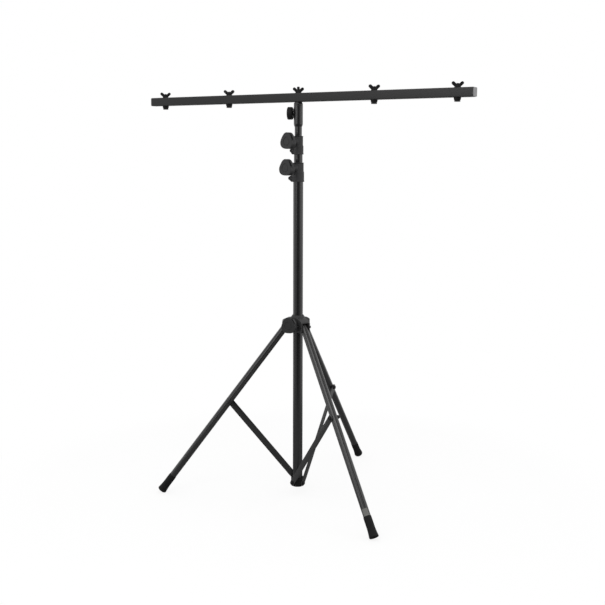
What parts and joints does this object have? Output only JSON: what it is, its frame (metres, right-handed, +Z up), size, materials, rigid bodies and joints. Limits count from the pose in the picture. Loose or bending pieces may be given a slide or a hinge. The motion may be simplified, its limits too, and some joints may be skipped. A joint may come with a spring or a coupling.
{
  "type": "lighting stand",
  "caption": "Folding tripod stand with a telescopic mast and a square cross bar that carries lamps on bolts with wing nuts.",
  "frame": {"origin": "on the floor under the mast's axis, at the centre of the part's box in plan", "axes": "+Z up along the mast, -X towards the foot of the left leg, -Y towards the viewer of the picture"},
  "size_m": [1.113, 0.888, 1.4542],
  "materials": {
    "powder_coat": "satin black powder coat",
    "bar_coat": "matt dark grey powder coat",
    "casting": "matt black paint on a casting",
    "black_plastic": "matt",
    "grey_plastic": "matt",
    "black_rubber": "matt",
    "black_steel": "blackened"
  },
  "bodies": {
    "base": {"lower_tube": "powder_coat", "base_plug": "black_plastic", "brace_bolt_left": "black_steel", "brace_bolt_front": "black_steel", "brace_bolt_rear": "black_steel", "lower_clamp_body": "casting", "lower_clamp_bush": "black_plastic", "lower_clamp_bolt": "black_steel"},
    "brace_left": {"brace_left": "powder_coat"},
    "brace_front": {"brace_front": "powder_coat"},
    "brace_rear": {"brace_rear": "powder_coat"},
    "leg_left": {"leg_left": "powder_coat", "foot_left": "black_rubber", "hub_pin_left": "black_steel", "leg_bolt_left": "black_steel", "leg_nut_left": "black_steel"},
    "leg_front": {"leg_front": "powder_coat", "foot_front": "black_rubber", "hub_pin_front": "black_steel", "leg_bolt_front": "black_steel", "leg_nut_front": "black_steel"},
    "leg_rear": {"leg_rear": "powder_coat", "foot_rear": "black_rubber", "hub_pin_rear": "black_steel", "leg_bolt_rear": "black_steel", "leg_nut_rear": "black_steel"},
    "hub": {"hub_body": "casting"},
    "hub_knob": {"hub_knob": "black_plastic", "hub_screw": "black_steel"},
    "lower_knob": {"lower_clamp_knob": "black_plastic", "lower_clamp_screw": "black_steel"},
    "middle_mast": {"middle_tube": "powder_coat", "middle_guide": "black_plastic", "upper_clamp_body": "casting", "upper_clamp_bush": "black_plastic", "upper_clamp_bolt": "black_steel"},
    "upper_knob": {"upper_clamp_knob": "black_plastic", "upper_clamp_screw": "black_steel"},
    "top_mast": {"top_tube": "powder_coat", "top_guide": "black_plastic"},
    "adaptor": {"adaptor_sleeve": "powder_coat", "adaptor_stud": "black_steel"},
    "adaptor_knob": {"adaptor_knob": "black_plastic", "adaptor_screw": "black_steel"},
    "t_bar": {"cross_bar": "bar_coat", "bar_plug_left": "grey_plastic", "bar_plug_right": "grey_plastic", "lamp_bolt_1": "black_steel", "lamp_bolt_2": "black_steel", "lamp_bolt_3": "black_steel", "lamp_bolt_4": "black_steel", "lamp_bush_1": "black_rubber", "lamp_bush_2": "black_rubber", "lamp_bush_3": "black_rubber", "lamp_bush_4": "black_rubber"},
    "nut_1": {"wing_nut_1": "black_steel"},
    "nut_2": {"wing_nut_2": "black_steel"},
    "nut_3": {"wing_nut_3": "black_steel"},
    "nut_4": {"wing_nut_4": "black_steel"},
    "nut_centre": {"wing_nut_centre": "black_steel"}
  },
  "joints": [
    {"name": "base_fold", "type": "hinge", "parent": "base", "child": "brace_left", "pos_m": [0, 0, 0.041], "axis": [0, 1, 0], "range_deg": [0, 32.2]},
    {"name": "brace_front_fold", "type": "hinge", "parent": "base", "child": "brace_front", "pos_m": [0, 0, 0.041], "axis": [-0.866, -0.5, 0], "range_deg": [0, 32.2]},
    {"name": "brace_rear_fold", "type": "hinge", "parent": "base", "child": "brace_rear", "pos_m": [0, 0, 0.041], "axis": [0.866, -0.5, 0], "range_deg": [0, 32.2]},
    {"name": "leg_left_fold", "type": "hinge", "parent": "brace_left", "child": "leg_left", "pos_m": [-0.2477, 0, 0.34483], "axis": [0, 1, 0], "range_deg": [-68, 0]},
    {"name": "leg_front_fold", "type": "hinge", "parent": "brace_front", "child": "leg_front", "pos_m": [0.12385, -0.21451, 0.34483], "axis": [-0.866, -0.5, 0], "range_deg": [-68, 0]},
    {"name": "leg_rear_fold", "type": "hinge", "parent": "brace_rear", "child": "leg_rear", "pos_m": [0.12385, 0.21451, 0.34483], "axis": [0.866, -0.5, 0], "range_deg": [-68, 0]},
    {"name": "hub_level", "type": "hinge", "parent": "leg_left", "child": "hub", "pos_m": [-0.042, 0, 0.6218], "axis": [0, 1, 0], "range_deg": [0, 35.7]},
    {"name": "hub_knob_turn", "type": "hinge", "parent": "hub", "child": "hub_knob", "pos_m": [-0.0265, -0.0424, 0.6298], "axis": [-0.5299, -0.848, 0], "continuous": true},
    {"name": "middle_slide", "type": "slide", "parent": "base", "child": "middle_mast", "axis": [0, 0, 1], "range_m": [-0.027, 0.85]},
    {"name": "lower_knob_turn", "type": "hinge", "parent": "base", "child": "lower_knob", "pos_m": [-0.02779, -0.02877, 1.1784], "axis": [-0.6947, -0.7193, 0], "continuous": true},
    {"name": "top_slide", "type": "slide", "parent": "middle_mast", "child": "top_mast", "axis": [0, 0, 1], "range_m": [-0.031, 0.9]},
    {"name": "upper_knob_turn", "type": "hinge", "parent": "middle_mast", "child": "upper_knob", "pos_m": [-0.02779, -0.02877, 1.2686], "axis": [-0.6947, -0.7193, 0], "continuous": true},
    {"name": "adaptor_lift", "type": "slide", "parent": "top_mast", "child": "adaptor", "axis": [0, 0, 1], "range_m": [0, 0.07]},
    {"name": "adaptor_knob_turn", "type": "hinge", "parent": "adaptor", "child": "adaptor_knob", "pos_m": [-0.01941, 0.00484, 1.3643], "axis": [-0.9703, 0.2419, 0], "continuous": true},
    {"name": "bar_swivel", "type": "hinge", "parent": "adaptor", "child": "t_bar", "pos_m": [0, 0, 1.4172], "axis": [0, 0, 1], "continuous": true},
    {"name": "nut_centre_turn", "type": "hinge", "parent": "adaptor", "child": "nut_centre", "pos_m": [0, 0, 1.4375], "axis": [0, 0, 1], "continuous": true},
    {"name": "nut_1_turn", "type": "hinge", "parent": "t_bar", "child": "nut_1", "pos_m": [-0.4982, 0.29698, 1.4375], "axis": [0, 0, 1], "continuous": true},
    {"name": "nut_2_turn", "type": "hinge", "parent": "t_bar", "child": "nut_2", "pos_m": [-0.2491, 0.14849, 1.4375], "axis": [0, 0, 1], "continuous": true},
    {"name": "nut_3_turn", "type": "hinge", "parent": "t_bar", "child": "nut_3", "pos_m": [0.2491, -0.14849, 1.4375], "axis": [0, 0, 1], "continuous": true},
    {"name": "nut_4_turn", "type": "hinge", "parent": "t_bar", "child": "nut_4", "pos_m": [0.4982, -0.29698, 1.4375], "axis": [0, 0, 1], "continuous": true}
  ],
  "couplings": [
    {"joint": "brace_front_fold", "follows": "base_fold", "ratio": 1},
    {"joint": "brace_rear_fold", "follows": "base_fold", "ratio": 1},
    {"joint": "leg_left_fold", "follows": "base_fold", "ratio": -2.1048},
    {"joint": "leg_front_fold", "follows": "base_fold", "ratio": -2.1048},
    {"joint": "leg_rear_fold", "follows": "base_fold", "ratio": -2.1048},
    {"joint": "hub_level", "follows": "base_fold", "ratio": 1.1048}
  ]
}
